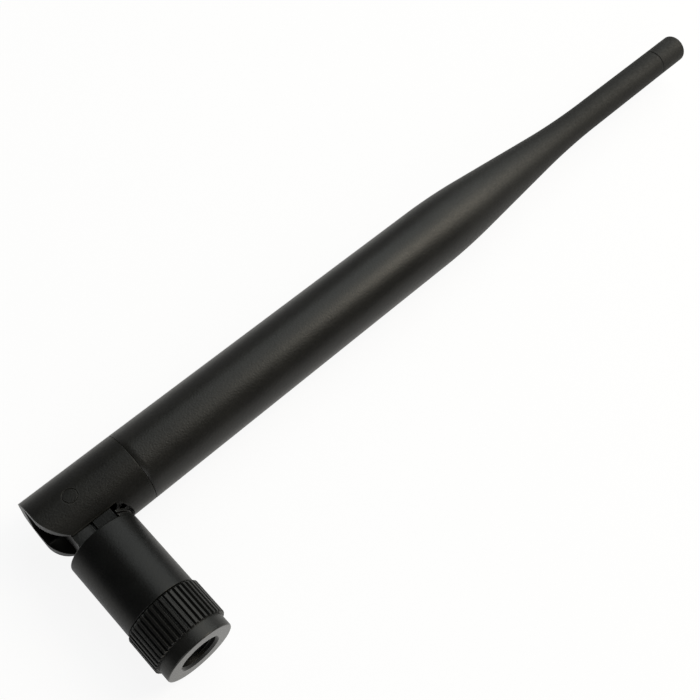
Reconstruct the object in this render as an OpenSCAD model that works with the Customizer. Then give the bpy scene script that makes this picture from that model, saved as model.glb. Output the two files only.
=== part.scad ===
// Folding wifi antenna: a tapered whip on a plug that swivels and tilts. Millimetres.
// The plug's axis lies along Y with its mouth towards -Y, and the whip lies along +X.
// The hinge pins stand along Z. The origin is on the plug's axis, in its reference plane,
// where the plug's outer contact ends and the centre pin stands out.

/* [Whip] */
// Outer diameter of the whip at its base, and of the hinge sleeve
whip_d = 13; // [12.2:0.1:15]
// Distance from the hinge to the end of the tip cap
whip_len = 159.1; // [150:0.1:190]
// Wall thickness of the whip's tube
radome_wall = 1; // [0.8:0.05:1.2]
// Outer diameter of the whip where its neck begins
shoulder_d = 12.6; // [11.8:0.01:13]
// Length of the neck, from full width to slim
neck_len = 48.8; // [40:0.1:52]
// Length of the slim stretch between the neck and the tip cap
slim_len = 21.8; // [18:0.1:26]
// Length over which the neck bends inwards
neck_bend_in = 13; // [8:0.5:18]
// Length over which the neck straightens out again
neck_bend_out = 16.5; // [8:0.5:18]
// Outer diameter of the whip where its neck ends
slim_d = 5.91; // [5.8:0.01:7]
// Outer diameter of the whip at the tip cap
tip_d = 5.78; // [5.2:0.01:6.6]
// Length of the tip cap that shows
cap_len = 7.4; // [5:0.1:10]
// Radius of the tip cap's end edge
cap_edge_r = 0.5; // [0.2:0.05:1.2]
// Length of the tip cap's spigot inside the whip
cap_spigot_len = 4; // [2:0.1:5]
// Chamfer on both sides of each visible seam
seam_chamfer = 0.12; // [0.05:0.01:0.25]

/* [Hinge sleeve] */
// Distance from the hinge to the seam between sleeve and whip
sleeve_len = 11.4; // [10.5:0.1:14]
// Distance from the hinge to the open end of the sleeve
sleeve_back = 6.5; // [6.2:0.05:6.9]
// Width of the slot between the two ears
slot_w = 8.6; // [8.2:0.05:9]
// Distance from the hinge to the nose that ends the slot behind the tongue
slot_end = 4.35; // [4.05:0.05:4.6]
// Depth of the slot's two outer corners beyond that nose
slot_corner = 0.6; // [0.2:0.05:1]
// Width that each outer corner takes from the nose
slot_corner_w = 3; // [1:0.05:3.5]
// Distance from the hinge to the wall that closes the slot's back
slot_back = 3.9; // [3.8:0.05:4.3]
// Radius of the ears' rounded corner
ear_corner_r = 6.9; // [5.5:0.1:7.2]
// Depth of that corner's lowest point below the ears' edges
ear_corner_drop = 1; // [0.2:0.05:1.2]
// Radius of the corner at the closed back of the sleeve
back_corner_r = 0.8; // [0.2:0.1:1.5]
// Length of the sleeve's spigot inside the whip
spigot_len = 6.5; // [4:0.1:9]
// Wall thickness of that spigot
spigot_wall = 1.3; // [0.8:0.05:2]
// Depth to which the spigot's bore reaches behind the seam
spigot_bore_depth = 2.2; // [0.5:0.1:2.4]
// Radius of the round recess that clears the collar behind the tongue
recess_r = 6.9; // [6.75:0.05:8]
// Distance from the hinge to the flat floor of that recess
recess_floor = 5.1; // [4.9:0.05:5.6]
// Depth of the two moulding pockets in the recess's floor
pocket_depth = 1.8; // [0.5:0.1:2.4]
// Rim left between each pocket and the recess's round wall
pocket_rim = 0.35; // [0.2:0.05:0.6]
// Wall left between each pocket and the slot, at its thinnest
pocket_wall = 0.6; // [0.4:0.05:0.8]
// Thickness of the web between the two pockets
pocket_web = 1.2; // [0.6:0.1:2]

/* [Hinge pins] */
// Diameter of the two hinge pins
pin_d = 2.4; // [1.8:0.05:3]
// Distance from the cable's axis to the pins' inner ends
pin_inner = 1.5; // [1.4:0.05:1.8]
// Radial clearance of the pins in the tongue
pin_gap = 0.04; // [0.02:0.01:0.1]
// Depth of the fine ring around each pin's outer end
pin_ring_depth = 0.18; // [0.05:0.01:0.3]
// Width of that ring
pin_ring_w = 0.12; // [0.05:0.01:0.2]
// Depth of the pins' outer ends below the sleeve's surface
pin_sink = 0.04; // [0:0.01:0.1]

/* [Detent] */
// Height of the click ribs on the ears' inner faces
rib_h = 0.12; // [0.05:0.01:0.15]
// Width of the click ribs
rib_w = 0.4; // [0.3:0.01:0.42]
// Length of the click ribs
rib_len = 1.2; // [0.6:0.1:1.6]
// Depth of the detent grooves in the tongue's cheeks
groove_depth = 0.5; // [0.35:0.01:0.7]
// Width of the detent grooves
groove_w = 0.48; // [0.44:0.01:0.7]
// Width of the shallow step beside each detent groove
step_w = 1; // [0.6:0.05:1.3]
// Depth of that step
step_depth = 0.1; // [0.04:0.01:0.2]
// Distance from the hinge to the start of the detent grooves
groove_start = 3; // [2:0.1:4]

/* [Knuckle] */
// Outer diameter of the knuckle's barrel
barrel_d = 12.84; // [12.4:0.02:13.4]
// Length of the barrel
barrel_len = 14.8; // [14:0.1:20]
// Distance from the hinge to the barrel's shoulder
shoulder_h = 7.3; // [7.1:0.05:9]
// Edge chamfer of the barrel's shoulder
shoulder_chamfer = 0.25; // [0.1:0.05:0.6]
// Width of the tongue, across the whip's slot
tongue_w = 7.3; // [6.6:0.05:7.5]
// Clearance between each cheek of the tongue and its ear
cheek_gap = 0.2; // [0.16:0.01:0.3]
// Height of the collar on the shoulder, behind the tongue
collar_h = 1.25; // [1:0.05:1.4]
// Gap between the tongue and the collar's two ends
collar_gap = 0.25; // [0.1:0.05:0.5]
// Distance from the barrel's surface in to the collar's
collar_in = 0.1; // [0.05:0.01:0.2]
// Height at which the collar's groove begins
collar_groove_from = 0.45; // [0.3:0.05:0.6]
// Height of the collar's groove
collar_groove_h = 0.35; // [0.2:0.01:0.4]
// Depth of the collar's groove
collar_groove_depth = 0.5; // [0.2:0.05:0.8]
// Radius of the fillets at the tongue's root
root_fillet_r = 0.8; // [0.3:0.05:0.95]
// Diameter of the cable's bore through the knuckle
cable_bore_d = 2.4; // [2:0.05:2.5]
// Distance from the hinge at which the cable's bore begins to flare
throat_start = 4; // [3.5:0.1:4.6]
// Depth of the wide bore that holds the plug's shank, from the front face
shank_bore_depth = 12.5; // [12:0.1:13.2]
// Depth of the counterbore for the plug's flange
flange_bore_depth = 1.4; // [1.2:0.05:2]

/* [Coupling nut] */
// Overall length of the nut
nut_len = 9.15; // [8.8:0.05:12]
// Gap between the barrel and the nut
nut_gap = 0.15; // [0.1:0.01:0.4]
// Diameter over the knurl's crests
knurl_d = 13.6; // [13:0.05:15]
// Length of the knurled band
knurl_len = 6.8; // [5:0.05:7.5]
// Number of ribs around the knurl
knurl_count = 44; // [30:1:48]
// Depth of the grooves between the ribs
knurl_depth = 0.45; // [0.2:0.01:0.5]
// Width of the grooves at the crests
knurl_groove_w = 0.6; // [0.3:0.01:0.68]
// Width of the grooves at their floor
knurl_floor_w = 0.2; // [0.05:0.01:0.25]
// Chamfer at the rear end of the ribs
knurl_chamfer = 0.3; // [0.1:0.05:0.5]
// Diameter of the smooth ring at the nut's face
ring_d = 12.46; // [11.5:0.02:12.6]
// Edge chamfer of that ring
ring_chamfer = 0.2; // [0.05:0.05:0.5]
// Distance from the nut's face back to the plug's reference plane
ref_depth = 3.3; // [3:0.05:4]
// Diameter of the smooth mouth ahead of the thread
mouth_d = 6.6; // [6.4:0.05:7]
// Length of that mouth
mouth_len = 0.5; // [0.3:0.05:0.7]
// Width of the chamfer from the mouth to the nut's face
mouth_chamfer = 0.4; // [0.2:0.05:0.6]
// Inner diameter of the coupling thread
thread_d = 5.58; // [5.5:0.01:5.7]

/* [Plug] */
// Outer diameter of the plug's outer contact
contact_d = 4.55; // [4.4:0.01:4.6]
// Length of the plug's outer contact
contact_len = 2.2; // [2:0.05:2.4]
// Diameter of the white insulator at the plug's face
bush_d = 4.1; // [3.9:0.01:4.2]
// Length of the insulator's wide front part
bush_front_len = 1.9; // [1.2:0.05:2.1]
// Diameter of the insulator's long rear part
bush_rear_d = 3.2; // [2.6:0.05:3.6]
// Overall length of the insulator
bush_len = 8.5; // [7.5:0.1:9]
// Diameter of the centre pin where it stands free
centre_pin_d = 0.92; // [0.9:0.01:0.94]
// Diameter of the centre pin inside the insulator
pin_body_d = 1.27; // [1.1:0.01:1.3]
// Length of the centre pin ahead of the reference plane
centre_pin_len = 2.1; // [1.9:0.05:2.3]
// Length of the centre pin's pointed end
centre_tip_len = 0.35; // [0.2:0.05:0.5]
// Diameter of the centre pin's flat tip
centre_tip_d = 0.4; // [0.2:0.05:0.6]
// Diameter of the centre pin's solder cup
cup_d = 1.5; // [1.3:0.05:1.7]
// Length of the centre pin's solder cup
cup_len = 1.4; // [1:0.1:1.6]
// Diameter of the plug's flange inside the knuckle
flange_d = 9.2; // [8.4:0.1:9.6]
// Thickness of the plug's flange
flange_t = 1; // [0.8:0.05:1.15]
// Diameter of the plug's shank inside the knuckle
shank_d = 6; // [5.8:0.05:6.4]
// Length of the plug's shank behind its flange
shank_len = 5.6; // [5:0.1:6]
// Outer diameter of the plug's crimp barrel
crimp_d = 2.6; // [2.4:0.05:2.8]
// Length of the plug's crimp barrel
crimp_len = 2.8; // [2:0.1:3]
// Radial clearance of every turning fit
turn_gap = 0.06; // [0.03:0.01:0.09]

/* [Rings and ferrule] */
// Thickness of the two snap rings
snap_t = 0.5; // [0.4:0.05:0.6]
// Depth of each snap ring's groove in the plug
snap_seat = 0.42; // [0.3:0.02:0.5]
// Height by which each snap ring stands out of the plug
snap_reach = 0.42; // [0.3:0.02:0.6]
// Axial clearance on each side of a snap ring
snap_play = 0.06; // [0.04:0.01:0.1]
// Opening of the snap rings
snap_open = 1.6; // [1:0.1:2.5]
// Distance from the reference plane back to the nut's snap ring
nut_snap_back = 3; // [2.8:0.05:3.6]
// Distance from the flange back to the swivel's snap ring
swivel_snap_back = 3.4; // [2.8:0.05:3.8]
// Gap between the swivel washer and the plug's flange
washer_play = 0.04; // [0.03:0.01:0.08]
// Wall thickness of the crimp ferrule
ferrule_wall = 0.5; // [0.3:0.05:0.7]
// Length of the crimp ferrule over the cable's jacket
ferrule_tail = 2; // [1:0.1:2.4]

/* [Cable] */
// Diameter of the cable's jacket
cable_d = 1.8; // [1.6:0.05:1.85]
// Diameter of the cable's inner insulation
core_d = 1; // [0.8:0.05:1.1]
// Radius of the cable's bend at the hinge, along its axis
cable_bend_r = 3; // [2.8:0.1:3.4]
// Radial gap around the cable's inner insulation in the plug
core_gap = 0.05; // [0.02:0.01:0.1]

/* [Radiator] */
// Distance from the hinge to the feed point, where the cable's jacket ends
feed_x = 43; // [40:0.5:48]
// Length of the bare inner insulation at the feed point
feed_bare = 2; // [1.5:0.1:3]
// Length of the brass ground sleeve
ground_len = 24; // [20:0.5:24]
// Outer diameter of the brass ground sleeve
ground_d = 4.6; // [4:0.1:5.5]
// Wall thickness of the brass ground sleeve
ground_wall = 0.3; // [0.2:0.05:0.5]
// Thickness of the ground sleeve's closed end
ground_end_t = 0.6; // [0.4:0.05:1]
// Diameter of the radiator wire
wire_d = 1; // [0.8:0.05:1.2]
// Distance from the start of the neck to the wire's coil
coil_offset = 7; // [2:0.5:9]
// Radius of the wire's coil, along the wire's axis
coil_r = 1.7; // [1.5:0.05:2]
// Spacing of the coil's turns
coil_pitch = 1.5; // [1.4:0.05:1.8]
// Number of turns in the coil
coil_turns = 6; // [4:1:6]
// Length of wire left between its end and the tip cap
wire_short = 3; // [2:0.1:5]
// Wall thickness of the heat-shrink tube
shrink_wall = 0.3; // [0.2:0.05:0.5]
// Length of the heat-shrink tube
shrink_len = 6; // [4:0.5:8]

/* [Spacers] */
// Distance from the hinge to the spacer around the ground sleeve
ground_spacer_x = 28; // [25:0.5:32]
// Length of this spacer and of the one around the wire
spacer_len = 4; // [2:0.1:5]
// Distance from the wire's end back to the spacer at the tip
tip_spacer_back = 1; // [0.5:0.1:2]
// Length of the spacer at the tip
tip_spacer_len = 3; // [2:0.1:4]

/* [Hidden] */
$fn = 96;
// Overlap used where one solid is cut or joined through another
eps = 0.01;
// Margin by which a cutting shape runs past what it cuts
past = 1;
black_plastic = [0.09, 0.09, 0.09];
black_metal = [0.14, 0.14, 0.15];
gold = [0.83, 0.68, 0.32];
brass = [0.78, 0.63, 0.28];
copper = [0.75, 0.42, 0.25];
steel = [0.7, 0.71, 0.73];
white = [0.93, 0.93, 0.91];
jacket_brown = [0.36, 0.2, 0.12];
shrink_black = [0.07, 0.07, 0.08];
spacer_grey = [0.55, 0.56, 0.58];

// Places along the plug's axis: positive towards the mouth, zero at the reference plane
face_s = ref_depth;
nut_rear_s = face_s - nut_len;
knuckle_front_s = nut_rear_s - nut_gap;
flange_rear_s = knuckle_front_s - flange_t;
shank_rear_s = flange_rear_s - shank_len;
crimp_rear_s = shank_rear_s - crimp_len;
cup_rear_s = -bush_len - cup_len;
nut_snap_s = -nut_snap_back;
swivel_snap_s = flange_rear_s - swivel_snap_back;
// Height of the hinge above the origin, along +Y
hinge_y = shoulder_h + barrel_len - knuckle_front_s;

// Radii
whip_r = whip_d / 2;
slot_half = slot_w / 2;
ear_drop = sqrt(whip_r * whip_r - slot_half * slot_half);
tongue_half_t = slot_half - cheek_gap;
tongue_half_w = tongue_w / 2;
pin_r = pin_d / 2;
spigot_r = whip_r - radome_wall;
spigot_bore_r = spigot_r - spigot_wall;
thread_r = thread_d / 2;
mouth_r = mouth_d / 2;
neck_shank_r = thread_r - turn_gap;
shank_r = shank_d / 2;
shank_bore_r = shank_r + turn_gap;
cable_r = cable_d / 2;
core_r = core_d / 2;
cable_bore_r = cable_bore_d / 2;
wire_r = wire_d / 2;
cup_bore_r = (bush_rear_d + cup_d) / 4;

// Outer radius of the whip at a distance from the hinge. The neck is a straight cone with a
// parabolic blend at each end.
cap_x = whip_len - cap_len;
neck_end = cap_x - slim_len;
neck_start = neck_end - neck_len;
neck_slope = (shoulder_d - slim_d) / 2 / (neck_len - (neck_bend_in + neck_bend_out) / 2);
blend_in_drop = neck_slope * neck_bend_in / 2;
function whip_outer(x) =
    x <= neck_start
        ? whip_r + (shoulder_d / 2 - whip_r) * (x - sleeve_len) / (neck_start - sleeve_len)
    : x <= neck_start + neck_bend_in
        ? shoulder_d / 2 - neck_slope * pow(x - neck_start, 2) / (2 * neck_bend_in)
    : x <= neck_end - neck_bend_out
        ? shoulder_d / 2 - blend_in_drop - neck_slope * (x - neck_start - neck_bend_in)
    : x <= neck_end
        ? slim_d / 2 + neck_slope * pow(neck_end - x, 2) / (2 * neck_bend_out)
    : slim_d / 2 + (tip_d - slim_d) / 2 * (x - neck_end) / (cap_x - neck_end);
blend_steps = 12;
whip_stations = concat([sleeve_len],
    [for (i = [0:blend_steps]) neck_start + neck_bend_in * i / blend_steps],
    [for (i = [0:blend_steps]) neck_end - neck_bend_out * (1 - i / blend_steps)],
    [cap_x]);
// Radius of the bore in the whip's tube at a distance from the hinge: straight where the
// sleeve's spigot and the tip cap sit, and following the outside in between
tip_bore_r = tip_d / 2 - radome_wall;
spigot_end = sleeve_len + spigot_len;
cap_seat = cap_x - cap_spigot_len;
function between(x, x0, r0, x1, r1) = r0 + (r1 - r0) * (x - x0) / (x1 - x0);
function tube_bore(x) =
    x <= spigot_end ? spigot_r
    : x <= neck_start
        ? between(x, spigot_end, spigot_r, neck_start, shoulder_d / 2 - radome_wall)
    : x <= neck_end ? whip_outer(x) - radome_wall
    : x <= cap_seat ? between(x, neck_end, slim_d / 2 - radome_wall, cap_seat, tip_bore_r)
    : tip_bore_r;
wire_end_x = cap_seat - wire_short;
wire_start_x = feed_x + feed_bare;
coil_x = neck_start + coil_offset;
shrink_end_x = feed_x + shrink_len;
// The wire's spacer sits half way between the heat-shrink tube and the coil
wire_spacer_x = (shrink_end_x + coil_x - spacer_len) / 2;

// Frames: local z runs towards the mouth, along the whip, or up through the hinge
module along_plug() rotate([90, 0, 0]) children();
module along_whip() translate([0, hinge_y, 0]) rotate([0, 90, 0]) children();
module at_hinge() translate([0, hinge_y, 0]) children();

// A straight tube along the whip between two distances from the hinge
module whip_tube(x0, x1, outer_r, inner_r) {
    along_whip() translate([0, 0, x0]) difference() {
        cylinder(h = x1 - x0, r = outer_r);
        translate([0, 0, -past]) cylinder(h = x1 - x0 + 2 * past, r = inner_r);
    }
}

// The whip's tapered tube
module radome() {
    outline = concat(
        [[spigot_r, sleeve_len], [whip_r - seam_chamfer, sleeve_len]],
        [[whip_r, sleeve_len + seam_chamfer]],
        [for (i = [1:len(whip_stations) - 2]) [whip_outer(whip_stations[i]), whip_stations[i]]],
        [[tip_d / 2, cap_x - seam_chamfer], [tip_d / 2 - seam_chamfer, cap_x]],
        [[tip_bore_r, cap_x], [tip_bore_r, cap_seat]],
        [for (i = [len(whip_stations) - 2:-1:1])
            [tube_bore(whip_stations[i]), whip_stations[i]]],
        [[spigot_r, spigot_end]]);
    color(black_plastic) along_whip() rotate_extrude() polygon(outline);
}

// The plug-in cap at the whip's tip
module tip_cap() {
    edge_steps = 8;
    outer_r = tip_d / 2;
    color(black_plastic) along_whip() rotate_extrude() polygon(concat(
        [[0, cap_seat], [tip_bore_r, cap_seat], [tip_bore_r, cap_x]],
        [[outer_r - seam_chamfer, cap_x], [outer_r, cap_x + seam_chamfer]],
        [for (i = [0:edge_steps])
            [outer_r - cap_edge_r * (1 - cos(90 * i / edge_steps)),
             whip_len - cap_edge_r * (1 - sin(90 * i / edge_steps))]],
        [[0, whip_len]]));
}

// Cuts a rounded corner into the side outline. The arc meets both edges at a slight angle,
// because it runs a little beyond them. sx and sy give the corner's side: -1 or 1.
module corner_cut(corner, r, sx, sy) {
    beyond = 0.03;
    middle = r - beyond;
    translate([0, 0, -whip_d]) linear_extrude(2 * whip_d)
        translate(corner) mirror([sx > 0 ? 1 : 0, 0]) mirror([0, sy > 0 ? 1 : 0])
            difference() {
                translate([-past, -past]) square(middle + past);
                translate([middle, middle]) circle(r);
            }
}

// The slot that takes the tongue: open to the end and to one side, with two deeper corners
module tongue_slot() {
    nose_half = slot_half - slot_corner_w;
    translate([0, slot_back, 0]) rotate([90, 0, 0])
        linear_extrude(slot_back + whip_r + past) polygon([
            [-sleeve_back - past, -slot_half], [slot_end + slot_corner, -slot_half],
            [slot_end, -nose_half], [slot_end, nose_half],
            [slot_end + slot_corner, slot_half], [-sleeve_back - past, slot_half]]);
}

// The round recess in the nose's underside, and its two moulding pockets
module nose_recess() {
    pocket_slope = 1.35;
    near_x = slot_end + pocket_wall;
    near_z = slot_half / 2 - pocket_rim;
    far_x = recess_r - pocket_rim;
    far_z = near_z + pocket_slope * (far_x - near_x);
    translate([0, -recess_floor, 0]) rotate([90, 0, 0]) intersection() {
        cylinder(h = whip_r, r = recess_r);
        translate([past, -slot_half, -past]) cube([2 * recess_r, slot_w, whip_d]);
    }
    translate([0, pocket_depth - recess_floor, 0]) rotate([90, 0, 0]) intersection() {
        cylinder(h = pocket_depth + past, r = recess_r - pocket_rim);
        for (side = [-1, 1]) linear_extrude(pocket_depth + past) polygon([
            [near_x, side * pocket_web / 2], [far_x, side * pocket_web / 2],
            [far_x, side * far_z], [near_x, side * near_z]]);
    }
}

// Fine ring around each hinge pin in the sleeve's surface
module pin_rings() {
    difference() {
        cylinder(h = whip_d + 2 * past, r = pin_r + pin_ring_w, center = true);
        rotate([0, 90, 0])
            cylinder(h = 2 * (pin_d + past), r = whip_r - pin_ring_depth, center = true);
    }
}

// Click rib on one ear's inner face: side is 1 for the upper ear and -1 for the lower one
module click_rib(side) {
    rib_root = 0.2;
    translate([-sleeve_back + rib_w, 0, side * slot_half]) rotate([90, 0, 90])
        linear_extrude(rib_len) polygon([
            [-rib_w / 2, side * rib_root], [-rib_w / 2, 0], [0, -side * rib_h],
            [rib_w / 2, 0], [rib_w / 2, side * rib_root]]);
}

// The moulded sleeve with two ears that carries the whip
module hinge_sleeve() {
    spigot_chamfer = 0.4;
    color(black_plastic) union() {
        difference() {
            along_whip() rotate_extrude() polygon([
                [0, -sleeve_back], [whip_r, -sleeve_back],
                [whip_r, sleeve_len - seam_chamfer], [whip_r - seam_chamfer, sleeve_len],
                [spigot_r, sleeve_len], [spigot_r, spigot_end - spigot_chamfer],
                [spigot_r - spigot_chamfer, spigot_end], [0, spigot_end]]);
            at_hinge() {
                tongue_slot();
                nose_recess();
                corner_cut([-sleeve_back, -ear_drop - ear_corner_drop], ear_corner_r, -1, -1);
                corner_cut([-sleeve_back, whip_r], back_corner_r, -1, 1);
                cylinder(h = whip_d + 2 * past, r = pin_r, center = true);
                pin_rings();
            }
            along_whip() {
                cylinder(h = spigot_end + past, r = cable_bore_r);
                translate([0, 0, sleeve_len - spigot_bore_depth])
                    cylinder(h = spigot_end, r = spigot_bore_r);
            }
        }
        at_hinge() click_rib(1);
        at_hinge() click_rib(-1);
    }
}

// One hinge pin, pressed into its ear, with its outer end following the sleeve's surface
module hinge_pin(side) {
    color(black_plastic) at_hinge() intersection() {
        translate([0, 0, side > 0 ? pin_inner : -whip_r - pin_inner])
            cylinder(h = whip_r, r = pin_r);
        rotate([0, 90, 0]) cylinder(h = 2 * pin_d, r = whip_r - pin_sink, center = true);
    }
}
module hinge_pin_upper() { hinge_pin(1); }
module hinge_pin_lower() { hinge_pin(-1); }

// Side outline of the tongue: round about the hinge, with fillets at the barrel
module tongue_outline() {
    circle(tongue_half_w);
    translate([-tongue_half_w, -shoulder_h - past]) square([tongue_w, shoulder_h + past]);
    for (side = [-1, 1]) mirror([side > 0 ? 1 : 0, 0])
        translate([-tongue_half_w - root_fillet_r, -shoulder_h]) difference() {
            translate([0, -past]) square([root_fillet_r + eps, root_fillet_r + past]);
            translate([0, root_fillet_r]) circle(root_fillet_r);
        }
}

// The grooved collar on the shoulder behind the tongue, joined to it in the middle
module collar() {
    collar_r = barrel_d / 2 - collar_in;
    joined_half = tongue_half_t - collar_gap - root_fillet_r / 2;
    intersection() {
        translate([0, -shoulder_h + collar_h, 0]) rotate([90, 0, 0]) difference() {
            cylinder(h = collar_h + shoulder_chamfer + past, r = collar_r);
            translate([0, 0, collar_h - collar_groove_from - collar_groove_h]) difference() {
                cylinder(h = collar_groove_h, r = collar_r + past);
                translate([0, 0, -past])
                    cylinder(h = barrel_len, r = collar_r - collar_groove_depth);
            }
        }
        union() {
            translate([tongue_half_w + collar_gap, -barrel_d, -barrel_d])
                cube([barrel_d, barrel_d, 2 * barrel_d]);
            translate([past, -barrel_d, -joined_half])
                cube([barrel_d, barrel_d, 2 * joined_half]);
        }
    }
}

// Space for the cable in the tongue, from the folded direction to the straight one
module cable_throat() {
    reach = tongue_w;
    linear_extrude(cable_bore_d, center = true) polygon([
        [-cable_bore_r, reach], [-cable_bore_r, -throat_start],
        [cable_bore_r, -throat_start], [throat_start, -cable_bore_r],
        [reach, -cable_bore_r], [reach, reach]]);
}

// Detent groove in one cheek: side is 1 for the upper cheek and -1 for the lower one
module detent_groove(side) {
    bevel_w = 0.37;
    half_w = groove_w / 2;
    top = past / 4;
    translate([0, -groove_start, side * tongue_half_t]) rotate([90, 0, 0])
        linear_extrude(shoulder_h - groove_start) polygon([
            [-half_w - step_w, side * top], [-half_w - step_w, 0],
            [-half_w - step_w + bevel_w, -side * step_depth],
            [-half_w, -side * step_depth], [-half_w, -side * groove_depth],
            [half_w, -side * groove_depth], [half_w, side * top]]);
}

// The moulded knuckle: a barrel that swivels on the plug, and a tongue that tilts in the slot
module knuckle() {
    color(black_plastic) difference() {
        union() {
            along_plug() translate([0, 0, knuckle_front_s - barrel_len])
                rotate_extrude() polygon([
                    [0, 0], [barrel_d / 2 - shoulder_chamfer, 0],
                    [barrel_d / 2, shoulder_chamfer],
                    [barrel_d / 2, barrel_len - seam_chamfer],
                    [barrel_d / 2 - seam_chamfer, barrel_len], [0, barrel_len]]);
            at_hinge() linear_extrude(2 * tongue_half_t, center = true) tongue_outline();
            at_hinge() collar();
        }
        along_plug() {
            translate([0, 0, -hinge_y]) cylinder(h = hinge_y, r = cable_bore_r);
            translate([0, 0, knuckle_front_s - shank_bore_depth])
                cylinder(h = shank_bore_depth + past, r = shank_bore_r);
            translate([0, 0, knuckle_front_s - flange_bore_depth])
                cylinder(h = flange_bore_depth + past, r = flange_d / 2 + turn_gap);
            translate([0, 0, swivel_snap_s - snap_t - 2 * snap_play])
                cylinder(h = snap_t + 4 * snap_play, r = shank_r + snap_reach + turn_gap);
        }
        at_hinge() {
            cable_throat();
            detent_groove(1);
            detent_groove(-1);
            cylinder(h = slot_w, r = pin_r + pin_gap, center = true);
        }
    }
}

// Friction washer between the plug's flange and the knuckle
module swivel_washer() {
    floor_s = knuckle_front_s - flange_bore_depth;
    color(steel) along_plug() translate([0, 0, floor_s]) difference() {
        cylinder(h = flange_rear_s - floor_s - washer_play, r = flange_d / 2);
        translate([0, 0, -past]) cylinder(h = flange_bore_depth + past, r = shank_bore_r);
    }
}

// The turned and plated plug: outer contact, nut shank, flange, swivel shank and crimp barrel
module connector_body() {
    core_bore_r = core_r + core_gap;
    nut_groove_r = neck_shank_r - snap_seat;
    swivel_groove_r = shank_r - snap_seat;
    snap_slot = snap_t + 2 * snap_play;
    color(gold) along_plug() difference() {
        rotate_extrude() polygon([
            [0, 0], [contact_d / 2, 0], [contact_d / 2, -contact_len],
            [neck_shank_r, -contact_len], [neck_shank_r, nut_snap_s],
            [nut_groove_r, nut_snap_s], [nut_groove_r, nut_snap_s - snap_slot],
            [neck_shank_r, nut_snap_s - snap_slot], [neck_shank_r, knuckle_front_s],
            [flange_d / 2, knuckle_front_s], [flange_d / 2, flange_rear_s],
            [shank_r, flange_rear_s], [shank_r, swivel_snap_s],
            [swivel_groove_r, swivel_snap_s], [swivel_groove_r, swivel_snap_s - snap_t],
            [shank_r, swivel_snap_s - snap_t], [shank_r, shank_rear_s],
            [crimp_d / 2, shank_rear_s], [crimp_d / 2, crimp_rear_s], [0, crimp_rear_s]]);
        translate([0, 0, -bush_front_len])
            cylinder(h = bush_front_len + past, r = bush_d / 2);
        translate([0, 0, -bush_len]) cylinder(h = bush_len, r = bush_rear_d / 2);
        translate([0, 0, cup_rear_s]) cylinder(h = cup_len + eps, r = cup_bore_r);
        translate([0, 0, crimp_rear_s - past])
            cylinder(h = cup_rear_s - crimp_rear_s + past + eps, r = core_bore_r);
    }
}

// The white insulating bush
module dielectric() {
    color(white) along_plug() difference() {
        rotate_extrude() polygon([
            [0, 0], [bush_d / 2, 0], [bush_d / 2, -bush_front_len],
            [bush_rear_d / 2, -bush_front_len], [bush_rear_d / 2, -bush_len], [0, -bush_len]]);
        translate([0, 0, -bush_len - past])
            cylinder(h = bush_len + 2 * past, r = pin_body_d / 2);
    }
}

// The centre pin with its solder cup
module centre_pin() {
    color(gold) along_plug() rotate_extrude() polygon([
        [0, cup_rear_s], [cup_d / 2, cup_rear_s], [cup_d / 2, -bush_len],
        [pin_body_d / 2, -bush_len], [pin_body_d / 2, 0],
        [centre_pin_d / 2, 0], [centre_pin_d / 2, centre_pin_len - centre_tip_len],
        [centre_tip_d / 2, centre_pin_len], [0, centre_pin_len]]);
}

// A split ring of square section around the plug's axis
module snap_ring(front_s, inner_r, outer_r) {
    along_plug() translate([0, 0, front_s - snap_t]) difference() {
        cylinder(h = snap_t, r = outer_r);
        translate([0, 0, -past]) cylinder(h = snap_t + 2 * past, r = inner_r);
        translate([0, -snap_open / 2, -past])
            cube([outer_r + past, snap_open, snap_t + 2 * past]);
    }
}
module swivel_snap_ring() {
    color(steel) snap_ring(swivel_snap_s, shank_r - snap_seat, shank_r + snap_reach);
}
module nut_snap_ring() {
    color(steel) snap_ring(nut_snap_s - snap_play, neck_shank_r - snap_seat + turn_gap,
        thread_r + snap_reach);
}

// The ferrule crimped over the plug's crimp barrel and the cable's jacket
module crimp_ferrule() {
    outer_r = crimp_d / 2 + ferrule_wall;
    step_s = crimp_rear_s;
    color(brass) along_plug() difference() {
        translate([0, 0, step_s - ferrule_tail])
            cylinder(h = crimp_len + ferrule_tail, r = outer_r);
        translate([0, 0, step_s]) cylinder(h = crimp_len + past, r = crimp_d / 2);
        translate([0, 0, step_s - ferrule_tail - past])
            cylinder(h = ferrule_tail + 2 * past, r = cable_r);
    }
}

// The cable's stretch in the knuckle, from the crimp to the hinge
module coax_lower() {
    color(jacket_brown) along_plug() translate([0, 0, -hinge_y + cable_bend_r])
        cylinder(h = crimp_rear_s + hinge_y - cable_bend_r, r = cable_r);
}

// The cable's stripped inner insulation inside the plug
module coax_lower_core() {
    color(white) along_plug() translate([0, 0, crimp_rear_s])
        cylinder(h = cup_rear_s - crimp_rear_s, r = core_r);
}

// The cable's quarter turn at the hinge, in the folded position
module coax_bend() {
    color(jacket_brown) at_hinge() translate([cable_bend_r, -cable_bend_r, 0]) intersection() {
        rotate_extrude() translate([cable_bend_r, 0]) circle(cable_r, $fn = 48);
        translate([-2 * cable_bend_r, 0, -cable_d])
            cube([2 * cable_bend_r, 2 * cable_bend_r, 2 * cable_d]);
    }
}

// The cable's stretch inside the whip
module coax_upper() {
    color(jacket_brown) along_whip() translate([0, 0, cable_bend_r])
        cylinder(h = feed_x - cable_bend_r, r = cable_r);
}

// The cable's bare inner insulation at the feed point
module coax_feed_core() {
    color(white) along_whip() translate([0, 0, feed_x]) cylinder(h = feed_bare, r = core_r);
}

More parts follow.
